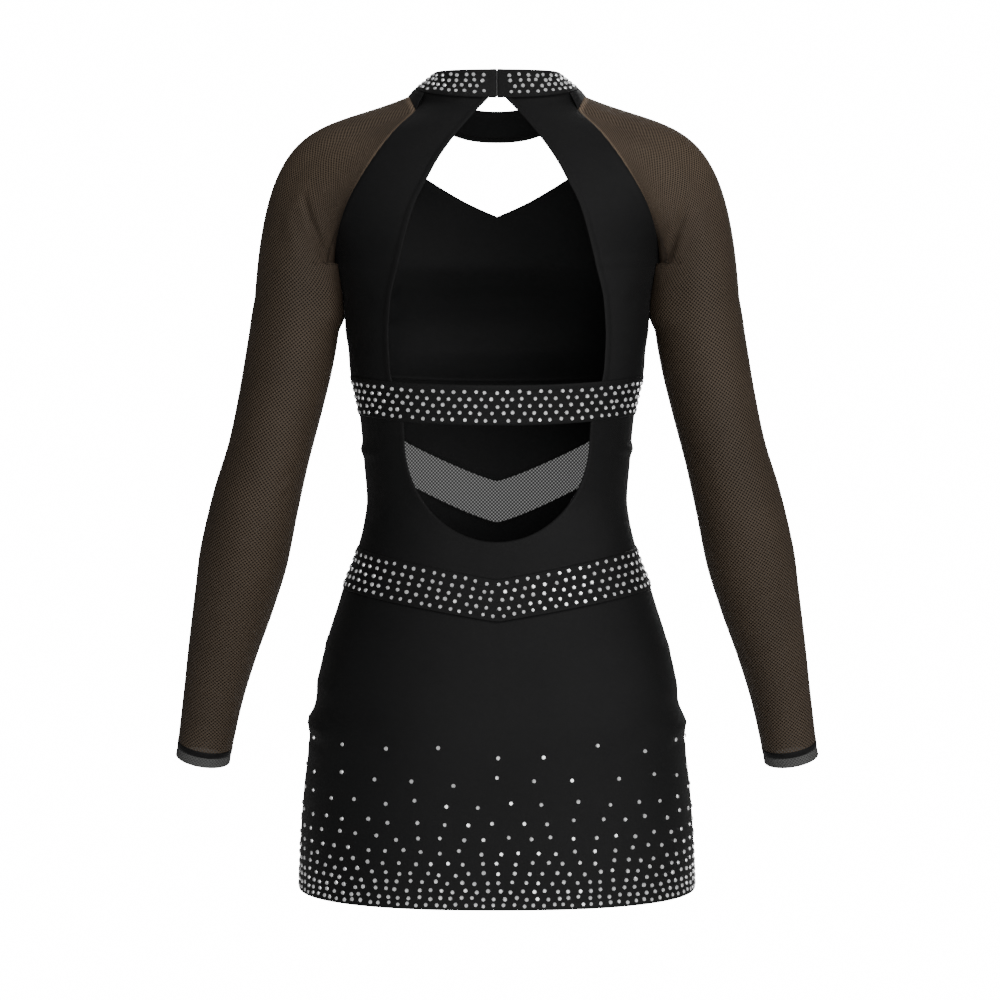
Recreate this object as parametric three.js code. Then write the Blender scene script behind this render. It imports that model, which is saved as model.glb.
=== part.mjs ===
import * as THREE from 'three';

/*
 * Cheerleading uniform: a long-sleeved stretch dress with a stand collar, halter
 * panels round a teardrop opening, net raglan sleeves, a midriff with a rounded
 * opening, a V belt and a short fitted skirt.
 *
 * Millimetres, +Z up. The front faces -Y and the wearer's left is +X. The origin
 * is the middle of the neck base, where the wearer holds the garment up.
 */

// Wall of each cloth, and the gap left at each seam
const KNIT = 1.2;
const DOUBLED = 1.8;
const NET = 1.0;
const SEAM = 0.5;
const COLLAR_SEAM = 1.15;
const ARMHOLE_SEAM = 0.95;

// Every level section of the torso is a rounded oval of this power
const POWER = 2.4;
const ROUND = 2 / POWER;
const UNDERARM_Z = -159;

// Torso from the underarm down: half width, depth behind and in front of the middle
const TORSO = [
  { z: -159, half: 154.0, back: 89.5, front: 100 },
  { z: -176, half: 149.2, back: 89.5, front: 106 },
  { z: -195, half: 145.4, back: 89.0, front: 114 },
  { z: -223, half: 143.9, back: 88.0, front: 121 },
  { z: -242, half: 141.1, back: 87.0, front: 122 },
  { z: -261, half: 139.7, back: 85.5, front: 117 },
  { z: -280, half: 135.4, back: 83.5, front: 108 },
  { z: -309, half: 129.7, back: 79.0, front: 97 },
  { z: -347, half: 126.4, back: 74.0, front: 90 },
  { z: -385, half: 123.5, back: 72.0, front: 87 },
  { z: -404, half: 125.9, back: 74.0, front: 88 },
  { z: -423, half: 130.2, back: 78.0, front: 90 },
  { z: -442, half: 136.3, back: 83.0, front: 92 },
  { z: -461, half: 144.0, back: 89.0, front: 94 },
  { z: -480, half: 149.6, back: 95.0, front: 96 },
  { z: -518, half: 161.5, back: 106.0, front: 101 },
  { z: -556, half: 170.1, back: 115.0, front: 106 },
  { z: -575, half: 172.0, back: 118.0, front: 108 },
  { z: -592, half: 178.0, back: 120.0, front: 109 },
  { z: -622, half: 179.1, back: 123.0, front: 111 },
  { z: -651, half: 182.4, back: 125.0, front: 113 },
  { z: -700, half: 186.0, back: 127.5, front: 116 },
  { z: -752, half: 187.6, back: 129.0, front: 118 },
];

// Back of the torso above the collar seam
const NECK_BACK = { z: 8, half: 77, depth: 55 };
// Raglan seams, from the neck down: where the seam lies, and the torso depth there
const RAGLAN_BACK = [
  { z: -16.5, x: 76.3, y: 39, depth: 62.0 },
  { z: -38, x: 96.4, y: 60, depth: 71.0 },
  { z: -60, x: 112.8, y: 68, depth: 79.0 },
  { z: -85, x: 128.8, y: 68, depth: 85.5 },
  { z: -106, x: 140.2, y: 61, depth: 88.0 },
  { z: -130, x: 148.9, y: 44, depth: 89.5 },
  { z: -151, x: 153.4, y: 16, depth: 89.5 },
];
const RAGLAN_FRONT = [
  { z: -58, x: 109.0, y: 75, depth: 88.0 },
  { z: -72, x: 116.0, y: 80, depth: 92.0 },
  { z: -95, x: 128.0, y: 80, depth: 96.0 },
  { z: -115, x: 138.0, y: 70, depth: 98.0 },
  { z: -134, x: 146.0, y: 54, depth: 99.0 },
  { z: -150, x: 151.5, y: 30, depth: 99.5 },
];

// Stand collar: its two edges, and how fast each falls away from the shoulders
const COLLAR_TOP = { half: 58, back: 44, front: 52, side: 21, mid: 21, throat: -12, fall: 1.1 };
const COLLAR_FOOT = { half: 77, back: 58, front: 64, side: 6, mid: -6.5, throat: -42, fall: 1.1 };
const COLLAR_GAP = 1.0;
const UNDERLAP = { left: 6, right: -14, clear: 0.6, top: 0.03, foot: 0.97 };

// Keyhole edge of a back panel, each row level with a row of its outer edge
const KEYHOLE = [
  { z: -18.6, x: 18.9 },
  { z: -45.1, x: 41.0 },
  { z: -66.8, x: 55.7 },
  { z: -84.0, x: 64.8 },
  { z: -105.5, x: 75.5 },
  { z: -133.0, x: 84.0 },
  { z: -155.0, x: 89.5 },
  { z: -165.0, x: 91.7 },
];
const KEYHOLE_TOP = 7.4;
const KEYHOLE_LOW = [
  { z: -195.6, x: 98.7 },
  { z: -227.5, x: 100.7 },
  { z: -250.0, x: 99.8 },
];
const KEYHOLE_FOOT = 97.2;
// How much higher those rows end at the side seam
const SIDE_RISE = 4;
const SHOULDER_SEAM = { x: 68, midX: 71.5, midZ: -8.5 };

// Strap over the shoulder: angle round the collar foot, and its outer edge
const STRAP = [
  { ring: 62, x: 77.9, y: 36, z: -14.5 },
  { ring: 74, x: 80.5, y: 24, z: -7.5 },
  { ring: 90, x: 84.0, y: 4, z: -1.0 },
  { ring: 106, x: 86.5, y: -16, z: -4.5 },
  { ring: 126, x: 89.0, y: -34, z: -15.0 },
  { ring: 146, x: 94.0, y: -51, z: -29.0 },
];
// Strap in front: edge of the chest opening, and its outer edge
const STRAP_FRONT = [
  { inX: 59, inY: -67, inZ: -46, x: 101, y: -65, z: -44 },
  { inX: 70.5, inY: -78, inZ: -58, x: 109, y: -75, z: -58 },
];
const STRAP_CROWN = 0.05;

// Top edge of the bodice from the centre front out, and where each column ends below
const NECKLINE = [
  { z: -112.3, x: 0, foot: 0 },
  { z: -106.3, x: 14, foot: 13 },
  { z: -98.0, x: 31.5, foot: 29 },
  { z: -84.6, x: 54.8, foot: 49 },
  { z: -75.8, x: 69, foot: 61 },
  { z: -69.0, x: 82, foot: 72 },
  { z: -70.0, x: 93.5, foot: 81 },
  { z: -71.0, x: 105, foot: 89.5 },
  { z: -72.0, x: 116, foot: 97 },
  { z: -95.0, x: 128, foot: 108 },
  { z: -115.0, x: 138, foot: 118 },
  { z: -134.0, x: 146, foot: 127 },
  { z: -150.0, x: 151.5, foot: 134 },
];
const STRAP_FIRST = 5;
const STRAP_LAST = 8;

// Bands: height at the side seam and at the middle
const BAND_TOP = { side: -266.5, mid: -273.5 };
const BAND_FOOT = { side: -303.0, mid: -311.0 };
const BELT_TOP = { side: -428.3, mid: -452.6 };
const BELT_FOOT = { side: -466.0, mid: -490.7 };
const HEM_Z = -749;

// Rounded opening in the back midriff
const BACK_OPENING = { half: 86, z: -324.7, drop: 94 };

// V of net in the front: middle heights, rise along the cloth, least yoke height
const NET_V = { top: -371.8, foot: -412.1, rise: 0.455, tip: 4, half: 126, depth: 89 };

// Arm of the sleeve: middle of each ring, and its half width and half depth
const ARM = [
  { x: 189.9, y: 0, z: -195, wide: 40.3, deep: 46 },
  { x: 192.4, y: 2, z: -223, wide: 42.2, deep: 46 },
  { x: 197.0, y: 4, z: -252, wide: 41.9, deep: 45 },
  { x: 204.7, y: 6, z: -290, wide: 40.5, deep: 44 },
  { x: 215.7, y: 7, z: -337, wide: 39.2, deep: 43 },
  { x: 228.5, y: 5, z: -385, wide: 41.2, deep: 42 },
  { x: 239.6, y: -4, z: -433, wide: 42.3, deep: 41 },
  { x: 251.0, y: -18, z: -481, wide: 38.6, deep: 38 },
  { x: 263.7, y: -32, z: -531, wide: 33.2, deep: 33 },
  { x: 274.7, y: -46, z: -581, wide: 28.7, deep: 28 },
  { x: 283.6, y: -58, z: -629, wide: 26.4, deep: 24.5 },
];
const CUFF_END = { x: 285.4, y: -60.3, z: -638.5, wide: 26.6, deep: 24.7 };
const CAP_STEPS = [0, 0.1, 0.25, 0.42, 0.6, 0.8];
// How the sleeve cap leaves the seam and meets the arm, as shares of its run
const CAP = { out: 0.58, fall: 0.195, inward: 0.08, lift: 0.45, topLift: 0.49, run: 191 };

// Grid steps
const HALF_TURN = 20;
const PANEL_COLUMNS = 6;
const ROWS = { collar: 2, bodice: 7, band: 3, yoke: 3, net: 2, midriff: 4 };
const SIDE_COLUMNS = 3;
const TAB_COLUMNS = 4;
const OPENING_COLUMNS = 16;
const OPENING_ROWS = 6;
const SKIRT_LEVELS = [0, 0.09, 0.19, 0.29, 0.37, 0.43, 0.54, 0.66, 0.78, 0.89, 1];

const CLOTH = new THREE.MeshStandardMaterial({ color: 0x1b1b1c, roughness: 0.72, metalness: 0 });
const STONED = new THREE.MeshStandardMaterial({ color: 0x202022, roughness: 0.6, metalness: 0 });
const MESH_NET = new THREE.MeshStandardMaterial({ color: 0x3a302a, roughness: 0.8, metalness: 0 });

const { lerp, degToRad } = THREE.MathUtils;
const vec = (x, y, z) => new THREE.Vector3(x, y, z);
const mirrored = (p) => vec(-p.x, p.y, p.z);
const signedPower = (v, power) => Math.sign(v) * Math.abs(v) ** power;

// A smooth curve through one column of a table, by height, with no overshoot
function curve(rows, key) {
  const step = (i) => (rows[i + 1][key] - rows[i][key]) / (rows[i + 1].z - rows[i].z);
  const slope = rows.map((row, i) => {
    if (i === 0) return step(0);
    if (i === rows.length - 1) return step(i - 1);
    const above = step(i - 1);
    const below = step(i);
    return above * below <= 0 ? 0 : (2 * above * below) / (above + below);
  });
  return (z) => {
    let i = 0;
    while (i < rows.length - 2 && z < rows[i + 1].z) i += 1;
    const span = rows[i + 1].z - rows[i].z;
    const t = THREE.MathUtils.clamp((z - rows[i].z) / span, 0, 1);
    const rise = t * t * (3 - 2 * t);
    const start = t * (1 - t) ** 2 * span * slope[i];
    const end = -t * t * (1 - t) * span * slope[i + 1];
    return lerp(rows[i][key], rows[i + 1][key], rise) + start + end;
  };
}

// Half width of the oval that passes through a seam point at the given depth
const halfThrough = ({ x, y, depth }) => x / (1 - (y / depth) ** POWER) ** (1 / POWER);

// One side of the torso: points by angle from its middle line, and height
function torsoSide(direction, rows) {
  const half = curve(rows, 'half');
  const depth = curve(rows, 'depth');
  return {
    angle: (x, z) => Math.asin(Math.min(1, Math.abs(x) / half(z)) ** (1 / ROUND)) * Math.sign(x),
    point: (angle, z) => vec(
      half(z) * signedPower(Math.sin(angle), ROUND),
      direction * (depth(z) * Math.abs(Math.cos(angle)) ** ROUND + SEAM / 2),
      z,
    ),
  };
}

const upper = (rows) => rows.map((row) => ({ z: row.z, half: halfThrough(row), depth: row.depth }));
const BACK = torsoSide(1, [
  NECK_BACK,
  { z: COLLAR_FOOT.mid, half: COLLAR_FOOT.half + 1, depth: COLLAR_FOOT.back },
  ...upper(RAGLAN_BACK),
  ...TORSO.map(({ z, half, back }) => ({ z, half, depth: back })),
]);
const FRONT = torsoSide(-1, [
  ...upper(RAGLAN_FRONT),
  ...TORSO.map(({ z, half, front }) => ({ z, half, depth: front })),
]);

// Heights of the seams that run round the body, by angle from the middle line
const curved = (edge) => (angle) => lerp(edge.side, edge.mid, Math.cos(angle) ** 2);
const pointed = (edge) => (angle) => lerp(edge.mid, edge.side, Math.abs(Math.sin(angle)) ** ROUND);
const bandTop = curved(BAND_TOP);
const bandFoot = curved(BAND_FOOT);
const beltTop = pointed(BELT_TOP);
const beltFoot = pointed(BELT_FOOT);

// Way along the cloth from the centre front, at the waist
function wayRound(angle) {
  const turn = Math.abs(angle);
  const even = ((NET_V.half + NET_V.depth) / 2) * turn;
  return even + ((NET_V.half - NET_V.depth) / 4) * Math.sin(2 * turn);
}
const netFoot = (angle) => NET_V.foot + NET_V.rise * wayRound(angle);
function netTop(angle) {
  const straight = NET_V.top + NET_V.rise * wayRound(angle);
  return Math.min(straight, bandFoot(angle) - NET_V.tip);
}

// A grid of points: rows run down, columns run round
function grid(rows, columns, pointAt) {
  const across = (r) => Array.from({ length: columns + 1 }, (_, c) => pointAt(r / rows, c / columns));
  return Array.from({ length: rows + 1 }, (_, r) => across(r));
}

// A closed wall behind grids of outer points, which join where their points meet
function wall(name, grids, thick, material) {
  const points = [];
  const known = new Map();
  const indexOf = (p) => {
    const key = p.toArray().map((v) => Math.round(v * 1000)).join();
    if (!known.has(key)) {
      known.set(key, points.length);
      points.push(p.clone());
    }
    return known.get(key);
  };
  let faces = [];
  const addFace = (a, b, c) => {
    if (a !== b && b !== c && c !== a) faces.push([a, b, c]);
  };
  for (const block of grids) {
    const index = block.map((row) => row.map(indexOf));
    for (let r = 0; r + 1 < index.length; r += 1) {
      for (let c = 0; c + 1 < index[r].length; c += 1) {
        addFace(index[r][c], index[r + 1][c], index[r + 1][c + 1]);
        addFace(index[r][c], index[r + 1][c + 1], index[r][c + 1]);
      }
    }
  }

  // Faces look away from the middle of the piece
  const middle = points.reduce((sum, p) => sum.add(p), vec(0, 0, 0)).divideScalar(points.length);
  const normalOf = ([a, b, c]) => {
    const side = points[b].clone().sub(points[a]);
    return side.cross(points[c].clone().sub(points[a]));
  };
  const lookOut = (face) => normalOf(face).dot(points[face[0]].clone().sub(middle));
  const outward = faces.reduce((sum, face) => sum + lookOut(face), 0);
  if (outward < 0) faces = faces.map(([a, b, c]) => [a, c, b]);

  const normals = points.map(() => vec(0, 0, 0));
  for (const face of faces) {
    const normal = normalOf(face);
    face.forEach((i) => normals[i].add(normal));
  }
  const count = points.length;
  const inner = points.map((p, i) => p.clone().addScaledVector(normals[i].normalize(), -thick));

  // Edges that belong to one face only are closed by a rim
  const edges = new Set(faces.flatMap(([a, b, c]) => [`${a},${b}`, `${b},${c}`, `${c},${a}`]));
  const triangles = [];
  for (const [a, b, c] of faces) {
    triangles.push(a, b, c, c + count, b + count, a + count);
    for (const [i, j] of [[a, b], [b, c], [c, a]]) {
      if (!edges.has(`${j},${i}`)) triangles.push(j, i, i + count, j, i + count, j + count);
    }
  }
  const geometry = new THREE.BufferGeometry();
  const flat = [...points, ...inner].flatMap((p) => p.toArray());
  geometry.setAttribute('position', new THREE.Float32BufferAttribute(flat, 3));
  geometry.setIndex(triangles);
  geometry.computeVertexNormals();
  const mesh = new THREE.Mesh(geometry, material);
  mesh.name = name;
  return mesh;
}

// Collar: a point by angle from the centre back and share of its height
function collarEdge(edge, angle, inset) {
  const behind = Math.cos(angle) >= 0;
  const depth = (behind ? edge.back : edge.front) - inset;
  const fall = Math.abs(Math.cos(angle)) ** edge.fall;
  return vec(
    (edge.half - inset) * signedPower(Math.sin(angle), ROUND),
    depth * signedPower(Math.cos(angle), ROUND),
    lerp(edge.side, behind ? edge.mid : edge.throat, fall),
  );
}
function collarPoint(angle, down, inset = 0) {
  return collarEdge(COLLAR_TOP, angle, inset).lerp(collarEdge(COLLAR_FOOT, angle, inset), down);
}
const footAngle = (x) => Math.asin((Math.abs(x) / COLLAR_FOOT.half) ** (1 / ROUND)) * Math.sign(x);

function buildCollar() {
  const gap = footAngle(COLLAR_GAP / 2);
  const turn = (across) => lerp(gap, 2 * Math.PI - gap, across);
  const ring = grid(ROWS.collar, 2 * HALF_TURN, (down, across) => collarPoint(turn(across), down));
  const left = footAngle(UNDERLAP.left);
  const right = footAngle(UNDERLAP.right);
  const inset = DOUBLED + UNDERLAP.clear;
  const tab = grid(ROWS.collar, TAB_COLUMNS, (down, across) => (
    collarPoint(lerp(right, left, across), lerp(UNDERLAP.top, UNDERLAP.foot, down), inset)
  ));
  return [
    wall('collar', [ring], DOUBLED, STONED),
    wall('collar_underlap', [tab], KNIT, CLOTH),
  ];
}

// The collar's foot, moved down the cloth by the seam gap
function belowCollar(angle) {
  const foot = collarEdge(COLLAR_FOOT, angle, 0);
  const down = foot.clone().sub(collarEdge(COLLAR_TOP, angle, 0)).normalize();
  return foot.addScaledVector(down, COLLAR_SEAM);
}

// Back panels: rows from the keyhole edge out to the shoulder, raglan and side seams
function buildBackPanels() {
  const onBack = (x, z) => ({ angle: BACK.angle(x, z), z });
  const inner = [...KEYHOLE, ...KEYHOLE_LOW].map(({ x, z }) => onBack(x, z));
  const outer = [
    ...RAGLAN_BACK.map(({ x, z }) => onBack(x, z)),
    { angle: Math.PI / 2, z: UNDERARM_Z },
    ...KEYHOLE_LOW.map(({ z }) => ({ angle: Math.PI / 2, z: z + SIDE_RISE })),
  ];
  const between = (from, to) => (across) => (
    BACK.point(lerp(from.angle, to.angle, across), lerp(from.z, to.z, across))
  );
  const collarRow = (across) => (
    belowCollar(lerp(footAngle(KEYHOLE_TOP), footAngle(SHOULDER_SEAM.x), across))
  );
  const second = between(
    onBack((KEYHOLE_TOP + KEYHOLE[0].x) / 2, (COLLAR_FOOT.mid + KEYHOLE[0].z) / 2),
    onBack(SHOULDER_SEAM.midX, SHOULDER_SEAM.midZ),
  );
  const footRow = (across) => {
    const angle = lerp(BACK.angle(KEYHOLE_FOOT, BAND_TOP.mid), Math.PI / 2, across);
    return BACK.point(angle, bandTop(angle) + SEAM / 2);
  };
  const rows = [collarRow, second, ...inner.map((from, i) => between(from, outer[i])), footRow];
  const panel = rows.map((row) => (
    Array.from({ length: PANEL_COLUMNS + 1 }, (_, c) => row(c / PANEL_COLUMNS))
  ));
  const other = panel.map((row) => row.map(mirrored));
  return [wall('back_left', [panel], KNIT, CLOTH), wall('back_right', [other], KNIT, CLOTH)];
}

// Edge points of the strap, and its cross rows with a slight crown
function strapRows() {
  const columns = STRAP_LAST - STRAP_FIRST;
  const stations = [
    ...STRAP.map(({ ring, x, y, z }) => [belowCollar(degToRad(ring)), vec(x, y, z)]),
    ...STRAP_FRONT.map(({ inX, inY, inZ, x, y, z }) => [vec(inX, inY, inZ), vec(x, y, z)]),
  ];
  const rows = stations.map(([inside, outside], i) => {
    const before = stations[Math.max(0, i - 1)];
    const after = stations[Math.min(stations.length - 1, i + 1)];
    const along = after[0].clone().add(after[1]).sub(before[0]).sub(before[1]).normalize();
    const up = along.cross(outside.clone().sub(inside)).multiplyScalar(STRAP_CROWN);
    return Array.from({ length: columns + 1 }, (_, c) => {
      const share = c / columns;
      const crown = 4 * share * (1 - share);
      return inside.clone().lerp(outside, share).addScaledVector(up, crown);
    });
  });
  const neck = NECKLINE.slice(STRAP_FIRST, STRAP_LAST + 1);
  rows.push(neck.map(({ x, z }) => FRONT.point(FRONT.angle(x, z), z)));
  return rows;
}

function buildBodice() {
  const half = [
    ...NECKLINE.map(({ x, z, foot }) => ({
      top: FRONT.angle(x, z),
      z,
      foot: FRONT.angle(foot, BAND_TOP.mid),
    })),
    { top: Math.PI / 2, z: UNDERARM_Z, foot: Math.PI / 2 },
  ];
  const columns = [
    ...half.slice(1).reverse().map(({ top, z, foot }) => ({ top: -top, z, foot: -foot })),
    ...half,
  ];
  const body = grid(ROWS.bodice, columns.length - 1, (down, across) => {
    const { top, z, foot } = columns[Math.round(across * (columns.length - 1))];
    return FRONT.point(lerp(top, foot, down), lerp(z, bandTop(foot) + SEAM / 2, down));
  });
  const strap = strapRows();
  const otherStrap = strap.map((row) => row.map(mirrored).reverse());
  return [wall('front_bodice', [body, strap, otherStrap], KNIT, CLOTH)];
}

// A strip of one side of the torso between two edges, over half a turn
function strip(side, rows, columns, top, foot) {
  return grid(rows, columns, (down, across) => {
    const angle = lerp(-Math.PI / 2, Math.PI / 2, across);
    return side.point(angle, lerp(top(angle), foot(angle), down));
  });
}
const under = (edge) => (angle) => edge(angle) - SEAM / 2;
const over = (edge) => (angle) => edge(angle) + SEAM / 2;

// A band round the whole body: both sides are brought to meet at the side seams
function hoop(name, top, foot) {
  const meet = (p) => vec(p.x, p.y - Math.sign(p.y) * (SEAM / 2), p.z);
  const sides = [BACK, FRONT].map((side) => {
    const cloth = strip(side, ROWS.band, HALF_TURN, under(top), over(foot));
    return cloth.map((row) => (side === BACK ? row : row.reverse()).map(meet));
  });
  const joined = sides[0].map((row, r) => [...row, ...sides[1][r]]);
  return wall(name, [joined], DOUBLED, STONED);
}

function buildBackMidriff() {
  const { half, z: level, drop } = BACK_OPENING;
  const edge = BACK.angle(half, level);
  const sideRows = OPENING_ROWS + 1;
  const rowHeight = (angle, row, start) => {
    const foot = beltTop(angle) + SEAM / 2;
    return lerp(start, foot, row / OPENING_ROWS);
  };
  const side = grid(sideRows, SIDE_COLUMNS, (down, across) => {
    const angle = lerp(edge, Math.PI / 2, across);
    const row = Math.round(down * sideRows) - 1;
    const z = row < 0 ? bandFoot(angle) - SEAM / 2 : rowHeight(angle, row, level);
    return BACK.point(angle, z);
  });
  const otherSide = side.map((row) => row.map(mirrored).reverse());
  const below = grid(OPENING_ROWS, OPENING_COLUMNS, (down, across) => {
    const turn = lerp(-Math.PI / 2, Math.PI / 2, across);
    const start = level - drop * Math.cos(turn);
    const x = half * Math.sin(turn);
    const row = Math.round(down * OPENING_ROWS);
    let angle = Math.abs(across - 0.5) === 0.5 ? edge * Math.sign(x) : BACK.angle(x, start);
    angle = lerp(angle, edge * Math.sin(turn), row / OPENING_ROWS);
    return BACK.point(angle, rowHeight(angle, row, start));
  });
  return wall('back_midriff', [side, otherSide, below], KNIT, CLOTH);
}

function buildFrontMidriff() {
  const yoke = strip(FRONT, ROWS.yoke, HALF_TURN, under(bandFoot), over(netTop));
  const net = strip(FRONT, ROWS.net, HALF_TURN, under(netTop), over(netFoot));
  const low = strip(FRONT, ROWS.midriff, HALF_TURN, under(netFoot), over(beltTop));
  return [
    wall('front_yoke', [yoke], KNIT, CLOTH),
    wall('front_chevron_mesh', [net], NET, MESH_NET),
    wall('front_midriff', [low], KNIT, CLOTH),
  ];
}

function buildSkirt() {
  const half = (side) => grid(SKIRT_LEVELS.length - 1, HALF_TURN, (down, across) => {
    const angle = lerp(-Math.PI / 2, Math.PI / 2, across);
    const share = SKIRT_LEVELS[Math.round(down * (SKIRT_LEVELS.length - 1))];
    return side.point(angle, lerp(beltFoot(angle) - SEAM / 2, HEM_Z, share));
  });
  return [
    wall('skirt_back', [half(BACK)], KNIT, CLOTH),
    wall('skirt_front', [half(FRONT)], KNIT, CLOTH),
  ];
}

// Sleeve: the armhole loop, from the underarm up the back seam and down the front one
function armhole() {
  const backSeam = RAGLAN_BACK.map(({ x, z }) => BACK.point(BACK.angle(x, z), z)).reverse();
  const neckEnd = STRAP.slice(1).map(({ x, y, z }) => vec(x, y, z));
  const strapEdge = STRAP_FRONT.map(({ x, y, z }) => vec(x, y, z));
  const frontSeam = RAGLAN_FRONT.slice(1).map(({ x, z }) => FRONT.point(FRONT.angle(x, z), z));
  return [vec(TORSO[0].half, 0, UNDERARM_Z), ...backSeam, ...neckEnd, ...strapEdge, ...frontSeam];
}

// A ring of the arm square to its run, starting on the body side and going round behind
function armRing(station, run, count) {
  const outward = vec(1, 0, 0).addScaledVector(run, -run.x).normalize();
  const backward = outward.clone().cross(run);
  return Array.from({ length: count + 1 }, (_, i) => {
    const turn = ((i % count) / count) * 2 * Math.PI;
    return vec(station.x, station.y, station.z)
      .addScaledVector(outward, -station.wide * Math.cos(turn))
      .addScaledVector(backward, station.deep * Math.sin(turn));
  });
}
const runBetween = (a, b) => vec(b.x - a.x, b.y - a.y, b.z - a.z).normalize();

// The cap: from the armhole each line swings out over the shoulder and down the arm
function capRings(loop, first) {
  const lines = loop.map((seam, i) => {
    const end = first[i];
    const way = end.clone().sub(seam);
    const drop = -way.z;
    const lift = drop * (CAP.lift + CAP.topLift * (drop / CAP.run));
    const leave = vec(seam.x + CAP.out * way.x, seam.y + CAP.out * way.y, seam.z - CAP.fall * drop);
    const arrive = vec(end.x - CAP.inward * way.x, end.y - CAP.inward * way.y, end.z + lift);
    const away = leave.clone().sub(seam).normalize().add(vec(1, 0, 0)).normalize();
    const start = seam.clone().addScaledVector(away, ARMHOLE_SEAM);
    return new THREE.CubicBezierCurve3(start, leave, arrive, end);
  });
  return CAP_STEPS.map((t) => lines.map((line) => line.getPoint(t)));
}

function buildSleeve(side) {
  const open = armhole();
  const loop = [...open, open[0]];
  const rings = ARM.map((station, i) => {
    const before = ARM[Math.max(0, i - 1)];
    const after = ARM[Math.min(ARM.length - 1, i + 1)];
    return armRing(station, runBetween(before, after), open.length);
  });
  const last = ARM[ARM.length - 1];
  const run = runBetween(last, CUFF_END);
  const wristRun = runBetween(ARM[ARM.length - 2], last);
  rings[rings.length - 1] = armRing(last, wristRun, open.length);
  const gap = vec(last.x, last.y, last.z).addScaledVector(run, SEAM);
  const cuff = [
    armRing({ ...last, x: gap.x, y: gap.y, z: gap.z }, wristRun, open.length),
    armRing(CUFF_END, wristRun, open.length),
  ];
  const sleeve = [...capRings(loop, rings[0]), ...rings];
  const place = (block) => (side > 0 ? block : block.map((row) => row.map(mirrored)));
  const word = side > 0 ? 'left' : 'right';
  return [
    wall(`sleeve_${word}`, [place(sleeve)], NET, MESH_NET),
    wall(`cuff_${word}`, [place(cuff)], NET, MESH_NET),
  ];
}

const group = new THREE.Group();
group.add(
  ...buildCollar(),
  ...buildBackPanels(),
  ...buildBodice(),
  hoop('underbust_band', bandTop, bandFoot),
  buildBackMidriff(),
  ...buildFrontMidriff(),
  hoop('hip_belt', beltTop, beltFoot),
  ...buildSkirt(),
  ...buildSleeve(1),
  ...buildSleeve(-1),
);
export default group;
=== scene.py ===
import bisect
import math
import random

import bmesh
import bpy
from mathutils import Matrix, Vector


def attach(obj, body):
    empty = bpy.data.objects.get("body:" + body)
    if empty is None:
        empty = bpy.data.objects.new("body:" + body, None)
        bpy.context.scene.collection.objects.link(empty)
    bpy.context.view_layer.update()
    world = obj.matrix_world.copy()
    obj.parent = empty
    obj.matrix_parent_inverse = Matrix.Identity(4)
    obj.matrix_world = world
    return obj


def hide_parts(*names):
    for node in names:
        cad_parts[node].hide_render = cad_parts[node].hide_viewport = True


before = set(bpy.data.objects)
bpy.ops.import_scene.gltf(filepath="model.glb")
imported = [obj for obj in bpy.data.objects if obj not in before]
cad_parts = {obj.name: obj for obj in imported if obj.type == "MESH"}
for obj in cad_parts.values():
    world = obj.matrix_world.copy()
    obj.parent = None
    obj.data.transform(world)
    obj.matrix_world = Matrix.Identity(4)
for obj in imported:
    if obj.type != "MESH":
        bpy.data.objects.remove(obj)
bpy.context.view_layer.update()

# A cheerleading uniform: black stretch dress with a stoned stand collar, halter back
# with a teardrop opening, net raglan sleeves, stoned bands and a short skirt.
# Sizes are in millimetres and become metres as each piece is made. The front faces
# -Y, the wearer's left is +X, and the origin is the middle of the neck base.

MM = 0.001
TINY = 1e-6
CLOTH_WALL = 1.0
DOUBLED_WALL = 1.6
NET_WALL = 0.35
# How far the bands stand out, and the power of the ovals that the body's sections are
PROUD = 0.7
POWER = 2.4
ROUND = 2 / POWER
# How far a panel's edge runs on beneath the band over it
TUCK = 2
UNDERARM_Z = -159


def table(names, *rows):
    """Rows of numbers under named columns."""
    return [dict(zip(names.split(), row)) for row in rows]


TORSO = table(
    "z half back front",
    (-159, 154.0, 89.5, 100),
    (-176, 149.2, 89.5, 106),
    (-195, 145.4, 89.0, 114),
    (-223, 143.9, 88.0, 121),
    (-242, 141.1, 87.0, 122),
    (-261, 139.7, 85.5, 117),
    (-280, 135.4, 83.5, 108),
    (-309, 129.7, 79.0, 97),
    (-347, 126.4, 74.0, 90),
    (-385, 123.5, 72.0, 87),
    (-404, 125.9, 74.0, 88),
    (-423, 130.2, 78.0, 90),
    (-442, 136.3, 83.0, 92),
    (-461, 144.0, 89.0, 94),
    (-480, 149.6, 95.0, 96),
    (-518, 161.5, 106.0, 101),
    (-556, 170.1, 115.0, 106),
    (-575, 172.0, 118.0, 108),
    (-592, 178.0, 120.0, 109),
    (-622, 179.1, 123.0, 111),
    (-651, 182.4, 125.0, 113),
    (-700, 186.0, 127.5, 116),
    (-752, 187.6, 129.0, 118),
)
# Raglan seams from the neck down: where the seam lies, and the torso depth there
RAGLAN_BACK = table(
    "z x y depth",
    (-16.5, 76.3, 39, 62.0),
    (-38, 96.4, 60, 71.0),
    (-60, 112.8, 68, 79.0),
    (-85, 128.8, 68, 85.5),
    (-106, 140.2, 61, 88.0),
    (-130, 148.9, 44, 89.5),
    (-151, 153.4, 16, 89.5),
)
RAGLAN_FRONT = table(
    "z x y depth",
    (-58, 109.0, 75, 88.0),
    (-72, 116.0, 80, 92.0),
    (-95, 128.0, 80, 96.0),
    (-115, 138.0, 70, 98.0),
    (-134, 146.0, 54, 99.0),
    (-150, 151.5, 30, 99.5),
)
COLLAR_TOP = dict(half=58, back=44, front=52, side=21, mid=21, throat=-12)
COLLAR_FOOT = dict(half=77, back=58, front=64, side=6, mid=-6.5, throat=-42)
COLLAR_FALL = 1.1
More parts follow.
